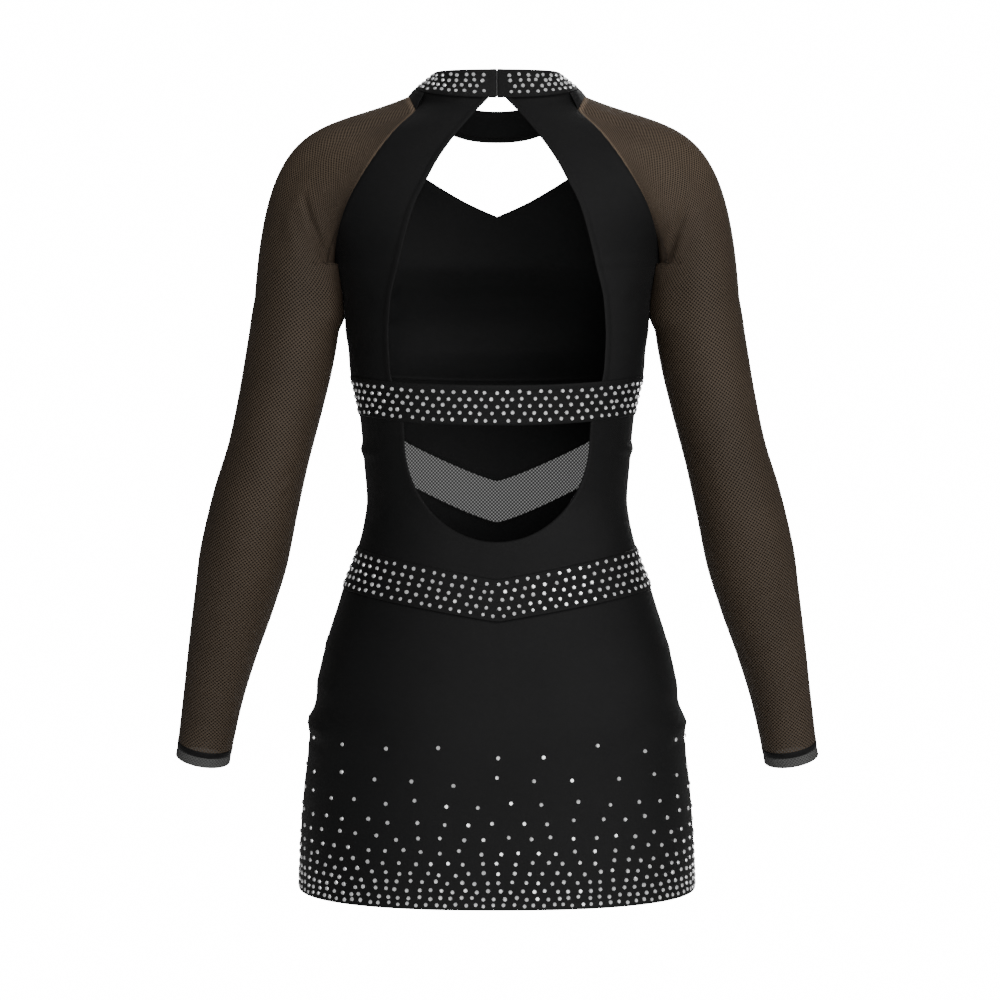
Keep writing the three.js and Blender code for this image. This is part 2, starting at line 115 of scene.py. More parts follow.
COLLAR_GAP = 1.0
UNDERLAP = dict(left=6, right=-14, clear=0.6, top=0.04, foot=0.96)
# The back's surface carries on beneath the collar: its top, its lean in and its spread
BACK_TOP = dict(z=8, lean=3, spread=1)
KEYHOLE = table(
    "z x",
    (-18.6, 18.9),
    (-45.1, 41.0),
    (-66.8, 55.7),
    (-84.0, 64.8),
    (-105.5, 75.5),
    (-133.0, 84.0),
    (-155.0, 89.5),
    (-165.0, 91.7),
)
KEYHOLE_TOP = 7.4
KEYHOLE_LOW = table("z x", (-195.6, 98.7), (-227.5, 100.7), (-250.0, 99.8))
KEYHOLE_FOOT = 97.2
SHOULDER_SEAM = dict(x=68, mid_x=71.5, mid_z=-8.5)
STRAP = table(
    "ring x y z",
    (59, 76.3, 39, -16.5),
    (74, 80.5, 24, -7.5),
    (90, 84.0, 4, -1.0),
    (106, 86.5, -16, -4.5),
    (126, 89.0, -34, -15.0),
    (146, 94.0, -51, -29.0),
)
STRAP_FRONT = table(
    "in_x in_y in_z x y z",
    (59, -67, -46, 101, -65, -44),
    (70.5, -78, -58, 109, -75, -58),
)
STRAP_CROWN = 0.05
NECKLINE = table(
    "z x foot",
    (-112.3, 0, 0),
    (-106.3, 14, 13),
    (-98.0, 31.5, 29),
    (-84.6, 54.8, 49),
    (-75.8, 69, 61),
    (-69.0, 82, 72),
    (-70.0, 93.5, 81),
    (-71.0, 105, 89.5),
    (-72.0, 116, 97),
    (-95.0, 128, 108),
    (-115.0, 138, 118),
    (-134.0, 146, 127),
    (-150.0, 151.5, 134),
)
STRAP_FIRST = 5
STRAP_LAST = 8
BAND_TOP = dict(side=-266.5, mid=-273.5)
BAND_FOOT = dict(side=-303.0, mid=-311.0)
BELT_TOP = dict(side=-428.3, mid=-452.6)
BELT_FOOT = dict(side=-466.0, mid=-490.7)
HEM_Z = -749
BACK_OPENING = dict(half=86, z=-324.7, drop=94)
# Front V of net: its heights and rise, how far its tips stay below the band, the waist
# that it runs round, and how far it laps over and lies within the panels beside it
NET_V = dict(top=-371.8, foot=-412.1, rise=0.455, tip=4, half=126, depth=89, lap=1, within=0.3)
ARM = table(
    "x y z wide deep",
    (189.9, 0, -195, 40.3, 46),
    (192.4, 2, -223, 42.2, 46),
    (197.0, 4, -252, 41.9, 45),
    (204.7, 6, -290, 40.5, 44),
    (215.7, 7, -337, 39.2, 43),
    (228.5, 5, -385, 41.2, 42),
    (239.6, -4, -433, 42.3, 41),
    (251.0, -18, -481, 38.6, 38),
    (263.7, -32, -531, 33.2, 33),
    (274.7, -46, -581, 28.7, 28),
    (283.6, -58, -629, 26.4, 24.5),
)
CUFF_END = dict(x=285.4, y=-60.3, z=-638.5, wide=26.6, deep=24.7)
CUFF_DEPTH = 12
# How the sleeve cap leaves its seam and meets the arm, as shares of its run
CAP = dict(out=0.58, fall=0.195, inward=0.08, lift=0.45, top_lift=0.49, run=191)
# Sizes of cut pieces that their grids don't give
BACK_CUT = dict(width=390, length=190)
FRONT_CUT = dict(yoke=72, net=120, midriff=120)

# Turned hem: distance from the cloth's edge and how far the outside stands up there
HEM = table("at rise", (0, 0.0), (0.7, 0.35), (1.6, 0.45), (5.0, 0.42), (5.9, 0.05), (6.8, 0.0))
# Sewn seam: a fine furrow along the edge
FURROW = table("at rise", (0, -0.55), (0.8, -0.25), (2.2, 0.12), (4.5, 0.0))

# Stretch net: distance between its threads, and how far the lattice drifts, in radians
NET_PITCH = dict(sleeve=2.55, v=2.4, cuff=2.3)
NET_DRIFT = 0.5
# The attribute that says how far down from a net's upper seam a point lies
SEAM_WAY = "seam_way"
# How far a sleeve's top lies under the panels' edges, and back from the seam line. The
# way out there leans sideways and up, more so above a level
SEAM_LIP = dict(under=0.7, back=1.2, sideways=0.6, up=30, level=-60)
# High up the net is painted lighter, for light falling from above on the shoulders, and its doubled
# edge more so: the edge runs down to these ways from the seam, and the painted light fades out
# downwards between these heights
SEAM_EDGE_AND_TOP_LIGHT = dict(start=4.2, end=7.0, low=-125, high=-55)
# How many rows of the arm the sleeve's cap counts for, and the hem tape's share of a row
CAP_SHARE = 3
HEM_TAPE = dict(share=0.115, wider=1.012)

# Under the arm the sleeve lies against the body: heights, how far it is pressed there,
# and how much of it, from a share of its half width inwards
ARMPIT = dict(top=-161, foot=-227, fade=20, press=6.5, clear=0.45, inner=0.3, spread=0.5)


def crease_lines(*rows):
    """Creases of one cloth and face."""
    return table("x z to_x to_z wide out", *rows)


# Creases by the cloth and the face they are on (1 back, -1 front, 0 all round): their
# ends, how wide they are and how far they stand out or, below 0, sink in
CREASES = {
    ("sleeve", 1): crease_lines(
        (182, -94, 172, -130, 4.5, -2.6),
        (174, -120, 159, -160, 5.0, -3.4),
        (199, -104, 187, -158, 9.0, 1.1),
        (180, -350, 206, -366, 3.5, -1.3),
        (184, -371, 203, -380, 3.0, -0.9),
        (247, -577, 259, -585, 2.5, -0.9),
        (250, -595, 263, -602, 2.5, -1.0),
        (255, -611, 268, -616, 2.5, -0.7),
        (-179, -98, -170, -128, 4.5, -2.3),
        (-172, -118, -158, -159, 5.5, -3.1),
        (-196, -110, -186, -150, 9.0, 0.9),
        (-181, -345, -204, -357, 3.5, -1.0),
        (-186, -366, -207, -378, 3.0, -1.2),
        (-249, -580, -260, -587, 2.5, -0.8),
        (-254, -603, -266, -609, 2.5, -1.0),
    ),
    ("sleeve", -1): crease_lines(
        (178, -98, 168, -132, 5.0, -2.4),
        (170, -126, 158, -160, 5.5, -3.0),
        (193, -388, 252, -378, 5.5, -2.1),
        (191, -408, 247, -403, 5.0, -1.7),
        (198, -427, 244, -427, 4.5, -1.2),
        (-177, -95, -167, -130, 5.0, -2.1),
        (-171, -124, -159, -158, 5.0, -3.2),
        (-191, -384, -249, -372, 5.0, -1.8),
        (-193, -404, -253, -397, 5.5, -2.2),
        (-200, -431, -241, -434, 4.0, -1.0),
    ),
    ("torso", 1): crease_lines(
        (147, -168, 116, -197, 7.0, -0.9),
        (139, -252, 108, -246, 6.0, 0.6),
        (-148, -172, -119, -203, 7.5, -1.1),
        (-140, -246, -112, -239, 6.0, 0.5),
        (122, -398, 76, -421, 7.0, -0.7),
        (-121, -393, -80, -417, 7.0, -0.8),
    ),
    ("torso", -1): crease_lines(
        (143, -160, 96, -186, 9.0, -1.4),
        (-144, -166, -101, -197, 9.0, -1.2),
        (131, -214, 92, -206, 8.0, -0.8),
        (-128, -224, -88, -219, 7.0, -0.9),
        (118, -352, 66, -368, 8.0, -0.8),
        (-116, -358, -72, -372, 8.0, -0.9),
    ),
    ("torso", 0): crease_lines(
        (140, -334, 108, -340, 6.0, 2.3),
        (-140, -338, -110, -333, 6.0, 2.1),
    ),
    ("skirt", 0): crease_lines(
        (171, -516, 146, -524, 7.0, 0.8),
        (-170, -521, -144, -530, 7.0, 0.9),
        (177, -553, 150, -560, 7.0, 0.8),
        (-176, -558, -150, -563, 7.0, 0.7),
        (191, -589, 158, -597, 5.0, 1.9),
        (190, -605, 156, -611, 5.5, -1.3),
        (-191, -591, -160, -598, 5.0, 1.7),
        (-190, -607, -158, -612, 5.0, -1.2),
    ),
    ("skirt", 1): crease_lines(
        (158, -508, 52, -536, 12.0, -0.9),
        (166, -574, 92, -600, 14.0, -1.0),
        (-160, -512, -44, -548, 13.0, -0.9),
        (-168, -580, -98, -612, 15.0, -0.9),
    ),
    ("skirt", -1): crease_lines(
        (155, -506, 40, -528, 12.0, -1.0),
        (160, -568, 70, -606, 15.0, -1.1),
        (-152, -510, -58, -541, 12.0, -0.8),
        (-163, -582, -84, -618, 15.0, -1.2),
    ),
}
# How creases thin out to their ends, how high their banks stand, how far they reach, and
# how they fade where the cloth turns away from their face
CREASE = dict(taper=0.7, bank=0.6, reach=3, edge_on=0.4, turn=1.5)
# The sleeve's creases die out this far from its upper seam
SLEEVE_HELD = 9.0

# Stones: size, how far the flat back sinks into the cloth, and the unevenness of setting
GEM = dict(radius=2.15, table=1.45, height=1.3, sunk=0.35)
JITTER = dict(along=0.75, down=0.4, lean=0.06, small=0.93, large=1.05)
# Rows on the bands: where the first and last lie from the edges, and stones apart
BAND_ROWS = dict(rows=5, spacing=10.0, top=6.8, foot=4.6, stagger=(0, 0.5))
BELT_ROWS = dict(rows=5, spacing=9.8, top=4.8, foot=4.8, stagger=(0, 0.35, 0.6, 0.9, 0.4))
COLLAR_ROWS = dict(rows=4, spacing=8.2, top=4.8, foot=4.8, stagger=(0, 0, 0.5, 0), start=12.8)
# Skirt rows: distance between stones grows with height above the hem
SKIRT_STONES = dict(first=4.5, top=150, close=7.0, rise=0.085, bend=0.0011, gap=0.83, phase=0.25)
# Their unevenness, in parts of that distance
SKIRT_JITTER = dict(along=0.14, up=0.12, phase=0.1)
# Middle heights of the two bands, and where the middle behind lies on the way round
BAND_LEVEL = -290
BELT_LEVEL = -462
MIDDLE_BEHIND = 0.25


# ---- curves and the torso ----

def lerp(a, b, share):
    return a + (b - a) * share


def signed_power(value, power):
    return math.copysign(abs(value) ** power, value)


class Curve:
    """A smooth curve through values at rising or falling places, with no overshoot."""

    def __init__(self, places, values):
        falling = places[0] > places[-1]
        self.places = [-p for p in places] if falling else list(places)
        self.sign = -1 if falling else 1
        self.values = values
        steps = [
            (values[i + 1] - values[i]) / (self.places[i + 1] - self.places[i])
            for i in range(len(values) - 1)
        ]
        self.slopes = [steps[0]]
        for above, below in zip(steps, steps[1:]):
            flat = above * below <= 0
            self.slopes.append(0 if flat else 2 * above * below / (above + below))
        self.slopes.append(steps[-1])

    def __call__(self, at):
        at *= self.sign
        last = len(self.places) - 2
        i = min(max(bisect.bisect_right(self.places, at) - 1, 0), last)
        span = self.places[i + 1] - self.places[i]
        t = min(max((at - self.places[i]) / span, 0), 1)
        rise = lerp(self.values[i], self.values[i + 1], t * t * (3 - 2 * t))
        start = t * (1 - t) ** 2 * span * self.slopes[i]
        return rise + start - t * t * (1 - t) * span * self.slopes[i + 1]


def column(rows, key):
    """A curve through one column of a table, by height."""
    return Curve([row["z"] for row in rows], [row[key] for row in rows])


def track(values):
    """A curve through values, by their number in the list."""
    return Curve(range(len(values)), values)


class TorsoSide:
    """Front or back of the torso: points by angle from its middle line, and height."""

    def __init__(self, facing, rows):
        self.facing = facing
        self.half = column(rows, "half")
        self.depth = column(rows, "depth")

    def angle(self, x, z):
        share = min(1, abs(x) / self.half(z)) ** (1 / ROUND)
        return math.copysign(math.asin(share), x)

    def point(self, angle, z):
        x = self.half(z) * signed_power(math.sin(angle), ROUND)
        y = self.facing * self.depth(z) * abs(math.cos(angle)) ** ROUND
        return Vector((x, y, z))


def upper(rows):
    """Torso rows whose oval passes through the raglan seam."""
    found = []
    for row in rows:
        half = row["x"] / (1 - (row["y"] / row["depth"]) ** POWER) ** (1 / POWER)
        found.append(dict(z=row["z"], half=half, depth=row["depth"]))
    return found


def lower(key):
    return [dict(z=row["z"], half=row["half"], depth=row[key]) for row in TORSO]


BACK = TorsoSide(1, [
    dict(z=BACK_TOP["z"], half=COLLAR_FOOT["half"], depth=COLLAR_FOOT["back"] - BACK_TOP["lean"]),
    dict(
        z=COLLAR_FOOT["mid"], half=COLLAR_FOOT["half"] + BACK_TOP["spread"],
        depth=COLLAR_FOOT["back"],
    ),
    *upper(RAGLAN_BACK),
    *lower("back"),
])
FRONT = TorsoSide(-1, [*upper(RAGLAN_FRONT), *lower("front")])
FACES = (BACK, "back"), (FRONT, "front")
SIDES = ("left", False), ("right", True)


def curved(edge):
    """Height of a seam that dips smoothly to the middle, by angle."""
    return lambda angle: lerp(edge["side"], edge["mid"], math.cos(angle) ** 2)


def pointed(edge):
    """Height of a seam that runs to a point at the middle, by angle."""
    return lambda angle: lerp(edge["mid"], edge["side"], abs(math.sin(angle)) ** ROUND)


band_top = curved(BAND_TOP)
band_foot = curved(BAND_FOOT)
belt_top = pointed(BELT_TOP)
belt_foot = pointed(BELT_FOOT)


def moved(edge, by):
    """The same seam, higher or lower."""
    return lambda angle: edge(angle) + by


def swell(share):
    """A smooth step from 0 to 1."""
    share = min(max(share, 0), 1)
    return share * share * (3 - 2 * share)


def creases(cloth, flip=False):
    """How far the creases move a cloth's outside out, for it or its mirror image."""
    rows = [(face, row) for (name, face), rows in CREASES.items() if name == cloth for row in rows]
    side = -1 if flip else 1

    def out(point, normal):
        total = 0
        for face, row in rows:
            run_x, run_z = row["to_x"] - row["x"], row["to_z"] - row["z"]
            from_x, from_z = side * point.x - row["x"], point.z - row["z"]
            share = (from_x * run_x + from_z * run_z) / (run_x ** 2 + run_z ** 2)
            away = abs(from_x * run_z - from_z * run_x) / math.hypot(run_x, run_z) / row["wide"]
            if not 0 < share < 1 or away > CREASE["reach"]:
                continue
            turned = CREASE["edge_on"] + CREASE["turn"] * normal.y * face
            seen = swell(turned) if face else 1
            taper = (4 * share * (1 - share)) ** CREASE["taper"]
            section = (1 - CREASE["bank"] * away ** 2) * math.exp(-away ** 2)
            total += row["out"] * seen * taper * section
        return total
    return out


def way_round(angle):
    """Way along the cloth from the centre front, at the waist."""
    turn = abs(angle)
    even = (NET_V["half"] + NET_V["depth"]) / 2 * turn
    return even + (NET_V["half"] - NET_V["depth"]) / 4 * math.sin(2 * turn)


def net_foot(angle):
    return NET_V["foot"] + NET_V["rise"] * way_round(angle)


def net_top(angle):
    straight = NET_V["top"] + NET_V["rise"] * way_round(angle)
    return min(straight, band_foot(angle) - NET_V["tip"])


# ---- making cloth ----

def profile(rows):
    return Curve([row["at"] for row in rows], [row["rise"] for row in rows])


hem_rise = profile(HEM)
furrow_rise = profile(FURROW)
EDGE_LINES = [row["at"] for row in HEM]


def shares(length, step, near, far):
    """Places from 0 to 1 along a length: fine lines beside worked edges, even ones between."""
    start = EDGE_LINES if near else []
    end = [length - at for at in reversed(EDGE_LINES)] if far else []
    first = start[-1] if start else 0
    last = end[0] if end else length
    count = max(1, round((last - first) / step))
    middle = [lerp(first, last, i / count) for i in range(count + 1)]
    inner = middle[1 if start else 0:len(middle) - (1 if end else 0)]
    return [at / length for at in (*start, *inner, *end)]


def walked(points):
    """Ways along a line of points, from its first."""
    ways = [0]
    for a, b in zip(points, points[1:]):
        ways.append(ways[-1] + (b - a).length)
    return ways


def polyline(place, steps=24):
    """Ways along a curve, at even steps of its parameter."""
    return walked([place(i / steps) for i in range(steps + 1)])


def even(place, steps=24):
    """The same line, walked at an even pace; and its length."""
    ways = polyline(place, steps)
    total = ways[-1]

    def at(share):
        way = share * total
        i = min(max(bisect.bisect_right(ways, way) - 1, 0), steps - 1)
        step = max(ways[i + 1] - ways[i], TINY)
        return (i + (way - ways[i]) / step) / steps

    return at, total


class Grid:
    """A grid of cloth: place(u, v) gives a point, u across and v down.

    edges says what each side is: h a turned hem, s a seam, - nothing, in the order
    left, right, top, foot. folds(point, normal) gives how far the outside moves out,
    from nothing at a held top edge. weave says where the weave starts from: the top, the
    foot, or level with the floor.
    """

    def __init__(
        self, place, step=6.0, edges="----", folds=None, held=0, rows_even=True, weave="top",
    ):
        self.weave = weave
        self.held = held
        pace_down, self.height = even(lambda v: place(0.5, v))
        if not rows_even:
            pace_down = float
        worked = [edge != "-" for edge in edges]
        downs = shares(self.height, step, *worked[2:])
        rows = [(v, *even(lambda u: place(u, v))) for v in map(pace_down, downs)]
        self.width = max(width for _, _, width in rows)
        acrosses = shares(self.width, step, *worked[:2])
        self.points = [
            [place(pace(self.keep_edges(share, width, worked)), v) for share in acrosses]
            for v, pace, width in rows
        ]
        self.rows = len(downs) - 1
        self.columns = len(acrosses) - 1
        self.measure()
        self.shape(edges, folds)

    def keep_edges(self, share, width, worked):
        """Lines beside a worked edge keep their distance from it in a narrower row."""
        reach = EDGE_LINES[-1]
        way = share * self.width
        if worked[0] and way <= reach + TINY:
            return way / width
        if worked[1] and self.width - way <= reach + TINY:
            return 1 - (self.width - way) / width
        low = reach if worked[0] else 0
        high = self.width - (reach if worked[1] else 0)
        inner = (way - low) / (high - low)
        return lerp(low / width, 1 - (self.width - high) / width, inner)

    def measure(self):
        """Ways along the cloth from each side, for the hems and the weave."""
        self.across = [walked(row) for row in self.points]
        self.level = [walked([point.xy for point in row]) for row in self.points]
        self.down = list(zip(*(walked(column) for column in zip(*self.points))))
        self.area = 0
        for r in range(self.rows):
            for c in range(self.columns):
                a, b = self.points[r][c], self.points[r][c + 1]
                d, e = self.points[r + 1][c], self.points[r + 1][c + 1]
                self.area += ((b - a).cross(d - a).length + (b - e).cross(d - e).length) / 2

    def woven(self, r, c):
        """Where a point lies on the flat cloth's weave."""
        if self.weave == "level":
            return self.level[r][c] - self.level[r][-1] / 2, self.points[r][c].z
        start = self.down[-1][c] if self.weave == "foot" else 0
        return self.across[r][c] - self.across[r][-1] / 2, start - self.down[r][c]

    def normals(self):
        found = []
        for r, row in enumerate(self.points):
            up = self.points[max(0, r - 1)]
            down = self.points[min(self.rows, r + 1)]
            line = []
            for c in range(len(row)):
                side = row[min(self.columns, c + 1)] - row[max(0, c - 1)]
                line.append(side.cross(up[c] - down[c]).normalized())
            found.append(line)
        count = (self.rows + 1) * (self.columns + 1)
        middle = sum((p for row in self.points for p in row), Vector()) / count
        lean = sum(
            n.dot(p - middle)
            for row, line in zip(self.points, found)
            for p, n in zip(row, line)
        )
        self.turned = lean < 0
        return [[-n for n in line] for line in found] if self.turned else found

    def shape(self, edges, folds):
        """Raises the hems, sinks the seams and moves the folds."""
        normals = self.normals()
        rises = {"h": hem_rise, "s": furrow_rise, "-": None}
        left, right, top, foot = (rises[edge] for edge in edges)
        for r, row in enumerate(self.points):
            for c, point in enumerate(row):
                ways = (
                    (left, self.across[r][c]),
                    (right, self.across[r][-1] - self.across[r][c]),
                    (top, self.down[r][c]),
                    (foot, self.down[-1][c] - self.down[r][c]),
                )
                found = [rise(way) for rise, way in ways if rise and way < EDGE_LINES[-1]]
                out = min(found) if found and min(found) < 0 else max(found, default=0)
                if folds:
                    free = swell(self.down[r][c] / self.held) if self.held else 1
                    out += folds(point, normals[r][c]) * free
                row[c] = point + normals[r][c] * out


def add_grid(bm, uv, grid, flip=False):
    """Lays a bmesh grid over a Grid's points, with cloth coordinates in metres."""
    rows, columns = grid.rows, grid.columns
    seam_way = bm.verts.layers.float[SEAM_WAY]
    made = bmesh.ops.create_grid(bm, x_segments=columns, y_segments=rows, size=0.5)
    spots = {}
    for vert in made["verts"]:
        c = round((vert.co.x + 0.5) * columns)
        r = round((0.5 - vert.co.y) * rows)
        spots[vert] = (r, c)
        x, y, z = grid.points[r][c]
        vert.co = Vector((-x if flip else x, y, z)) * MM
        vert[seam_way] = grid.down[r][c] * MM
    faces = {face for vert in made["verts"] for face in vert.link_faces}
    for face in faces:
        for loop in face.loops:
            along, down = grid.woven(*spots[loop.vert])
            loop[uv].uv = (along * MM, down * MM)
    if grid.turned != flip:
        bmesh.ops.reverse_faces(bm, faces=list(faces))


def finish_piece(bm, name, material, wall=None):
    """Turns a bmesh into a smooth piece at the origin, with a wall inside it if asked."""
    mesh = bpy.data.meshes.new(name)
    bm.to_mesh(mesh)
    bm.free()
    piece = bpy.data.objects.new(name, mesh)
    bpy.context.scene.collection.objects.link(piece)
    mesh.materials.append(material)
    if wall:
        for polygon in mesh.polygons:
            polygon.use_smooth = True
        solid = piece.modifiers.new("wall", "SOLIDIFY")
        solid.thickness = wall * MM
        solid.offset = -1
        solid.use_rim = True
    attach(piece, "root")
    return piece


def cloth(name, node, finish, grids, join=0.04):
    """One cut piece of cloth from its grids, each given with whether it is mirrored."""
    material, slot, wall = finish
    bm = bmesh.new()
    uv = bm.loops.layers.uv.new("UVMap")
    bm.verts.layers.float.new(SEAM_WAY)
    for grid, flip in grids:
        add_grid(bm, uv, grid, flip)
    bmesh.ops.remove_doubles(bm, verts=bm.verts, dist=join * MM)
    piece = finish_piece(bm, name, material, wall)
    if node:
        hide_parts(node)
    return piece


def panel_of(name, node, finish, grid, flip=False, width=None, length=None):
    """A cut piece made of one grid. Its width and length are not used."""
    piece = cloth(name, node, finish, [(grid, flip)])
    width or grid.width
    length or grid.height


# ---- materials ----

class Nodes:
    """Short ways to add and join the nodes of a material or a world."""

    def __init__(self, owner):
        owner.use_nodes = True
        self.tree = owner.node_tree

    def add(self, kind, **settings):
        node = self.tree.nodes.new(kind)
        for key, value in settings.items():
            setattr(node, key, value)
        return node

    def join(self, source, target):
        if hasattr(source, "links"):
            self.tree.links.new(source, target)
        else:
            target.default_value = source

    def math(self, operation, a, b=None, c=None):
        node = self.add("ShaderNodeMath", operation=operation)
        for value, socket in zip((a, b, c), node.inputs):
            if value is not None:
                self.join(value, socket)
        return node.outputs[0]


class Finish(Nodes):
    """A piece's material, with its places along and down the cloth."""

    def __init__(self, name):
        self.material = bpy.data.materials.new(name)
        super().__init__(self.material)
        self.shader = self.tree.nodes["Principled BSDF"]
        split = self.add("ShaderNodeSeparateXYZ")
        self.join(self.add("ShaderNodeUVMap", uv_map="UVMap").outputs[0], split.inputs[0])
        self.along, self.down = split.outputs[:2]

    def noise(self, scale, detail):
        node = self.add("ShaderNodeTexNoise")
        node.inputs["Scale"].default_value = scale
        node.inputs["Detail"].default_value = detail
        self.join(self.add("ShaderNodeTexCoord").outputs["Object"], node.inputs["Vector"])
        return node.outputs[0]

    def height(self):
        split = self.add("ShaderNodeSeparateXYZ")
        self.join(self.add("ShaderNodeTexCoord").outputs["Object"], split.inputs[0])
        return split.outputs[2]

    def span(self, value, low, high, to_low, to_high):
        node = self.add("ShaderNodeMapRange")
        for key, source in zip(range(5), (value, low, high, to_low, to_high)):
            self.join(source, node.inputs[key])
        return node.outputs[0]

    def colour(self, share, one, other, strength=None):
        """Base colour: a blend of two, made lighter or darker by a strength if given."""
        node = self.add("ShaderNodeMix", data_type="RGBA")
        self.join(share, node.inputs["Factor"])
        node.inputs["A"].default_value = (*one, 1)
        node.inputs["B"].default_value = (*other, 1)
        found = node.outputs["Result"]
        if strength:
            scaled = self.add("ShaderNodeVectorMath", operation="SCALE")
            self.join(found, scaled.inputs[0])
            self.join(strength, scaled.inputs["Scale"])
            found = scaled.outputs[0]
        self.join(found, self.shader.inputs["Base Color"])

    def bump(self, height, depth):
        node = self.add("ShaderNodeBump")
        node.inputs["Strength"].default_value = 1.0
        node.inputs["Distance"].default_value = depth * MM
        self.join(height, node.inputs["Height"])
        self.join(node.outputs[0], self.shader.inputs["Normal"])

    def set(self, **values):
        for key, value in values.items():
            self.shader.inputs[key.replace("_", " ")].default_value = value


KNIT_PITCH = 0.55


def knit_material(name, dark, light):
    """Stretch knit: fine ribs of loops and a faint uneven dye."""
    n = Finish(name)
    wave = 2 * math.pi / (KNIT_PITCH * MM)
    rib = n.math("SINE", n.math("MULTIPLY", n.along, wave))
    loop = n.math("SINE", n.math("MULTIPLY", n.down, wave * 0.8))
    loops = n.math("MULTIPLY_ADD", loop, 0.5, rib)
    cloudy = n.noise(9.0, 4.0)
    fuzz = n.noise(900.0, 2.0)
    n.colour(n.span(cloudy, 0.3, 0.7, 0, 1), dark, light)
    n.join(n.span(fuzz, 0.3, 0.7, 0.5, 0.62), n.shader.inputs["Roughness"])
    n.bump(n.math("MULTIPLY_ADD", fuzz, 1.2, loops), 0.03)
    n.set(Sheen_Weight=0.02, Sheen_Roughness=0.4, Specular_IOR_Level=0.16)
    return n.material


def net_finish(name, pitch, thread, hole_shade, clear, opening=(0.3, 1.3), upper=(1, 1)):
    """Stretch net: a slanting lattice of threads round holes that let a share of light by.

    High up it is painted lighter, for light falling from above: upper says how many times at its
    turned edge, and beyond it.
    """
    n = Finish(name)
    wave = 2 * math.pi / (pitch * math.sqrt(2) * MM)
    one = n.math("MULTIPLY", n.math("ADD", n.along, n.down), wave)
    other = n.math("MULTIPLY", n.math("SUBTRACT", n.along, n.down), wave)
    drift = n.span(n.noise(60.0, 1.0), 0.3, 0.7, -NET_DRIFT, NET_DRIFT)
    field = n.math("ADD", n.math("COSINE", n.math("ADD", one, drift)),
                   n.math("COSINE", n.math("ADD", other, drift)))
    open_share = n.span(field, *opening, 0, 1)
    n.join(n.math("MULTIPLY_ADD", open_share, -clear, 1), n.shader.inputs["Alpha"])
    uneven = n.span(n.noise(14.0, 3.0), 0.3, 0.7, 0.9, 1.15)
    turned = n.add("ShaderNodeAttribute", attribute_name=SEAM_WAY).outputs["Fac"]
    near = n.span(turned, SEAM_EDGE_AND_TOP_LIGHT["start"] * MM, SEAM_EDGE_AND_TOP_LIGHT["end"] * MM, upper[0] - 1, upper[1] - 1)
    # Painted light: the net is made lighter high up, for light falling from above, most at its
    # turned edge
    top_light_share = n.span(n.height(), SEAM_EDGE_AND_TOP_LIGHT["low"] * MM, SEAM_EDGE_AND_TOP_LIGHT["high"] * MM, 0, 1)
    lighter = n.math("MULTIPLY_ADD", near, top_light_share, 1)
    # The holes are painted a dark colour, for the shade of the inside seen through them
    n.colour(n.span(field, -0.2, 0.9, 0, 1), thread, hole_shade, n.math("MULTIPLY", uneven, lighter))
    n.bump(field, 0.12)
    n.set(Roughness=0.6, Specular_IOR_Level=0.2)
    return n.material, "net", NET_WALL


def stone_material():
    """Foiled clear rhinestone: white fire with bright facets and a little variation."""
    n = Finish("rhinestone")
    n.colour(n.span(n.noise(160.0, 1.0), 0.35, 0.65, 0, 1), (0.93, 0.94, 0.96), (1.0, 1.0, 1.0))
    n.set(Metallic=0.5, Roughness=0.18, Coat_Weight=1.0, Coat_Roughness=0.03)
    return n.material


BLACK = (0.0048, 0.0048, 0.005), (0.0074, 0.0074, 0.0076)
# Painted light: the tab's grey stands for the light seen through the collar's gap behind
GAP_LIGHT_GREY = (0.2, 0.2, 0.2), (0.26, 0.26, 0.26)
KNIT = knit_material("black_stretch_knit", *BLACK)
STONE = stone_material()
# Each cloth's finish: its material, slot and wall
PLAIN = KNIT, "stretch_knit", CLOTH_WALL
TAPE = KNIT, "stretch_knit", NET_WALL
STONED = KNIT, "stoned_band", DOUBLED_WALL
TAB = knit_material("tab_knit_painted_gap_light", *GAP_LIGHT_GREY), "stretch_knit", CLOTH_WALL
# The sleeve net's holes are painted dark, as painted shade of the inside seen through them
SLEEVE_NET = net_finish(
    "sleeve_net", NET_PITCH["sleeve"], (0.073, 0.0525, 0.0355), (0.011, 0.0082, 0.006), 0.5,
    # Painted light from above, high up: at the turned edge, and beyond it
    upper=(2.9, 1.4),
)
V_NET = net_finish(
    "black_net", NET_PITCH["v"], (0.04, 0.04, 0.039), (0.033, 0.033, 0.033), 0.99, (-1.9, 2.2),
)
CUFF_NET = net_finish(
    "cuff_net", NET_PITCH["cuff"], (0.1, 0.1, 0.097), (0.02, 0.02, 0.02), 0.38, (0.1, 1.5),
)


# ---- collar ----

def collar_edge(edge, angle, inset=0.0):
    behind = math.cos(angle) >= 0
    depth = (edge["back"] if behind else edge["front"]) - inset
    fall = abs(math.cos(angle)) ** COLLAR_FALL
    x = (edge["half"] - inset) * signed_power(math.sin(angle), ROUND)
    y = depth * signed_power(math.cos(angle), ROUND)
    return Vector((x, y, lerp(edge["side"], edge["mid"] if behind else edge["throat"], fall)))


def collar_point(angle, down, inset=0.0):
    top = collar_edge(COLLAR_TOP, angle, inset)
    return top.lerp(collar_edge(COLLAR_FOOT, angle, inset), down)


def foot_angle(x):
    share = (abs(x) / COLLAR_FOOT["half"]) ** (1 / ROUND)
    return math.copysign(math.asin(share), x)


def collar_band(u, v):
    """The collar's outside, from its one end behind round to the other."""
    gap = foot_angle(COLLAR_GAP / 2)
    return collar_point(lerp(gap, 2 * math.pi - gap, u), v, -PROUD)


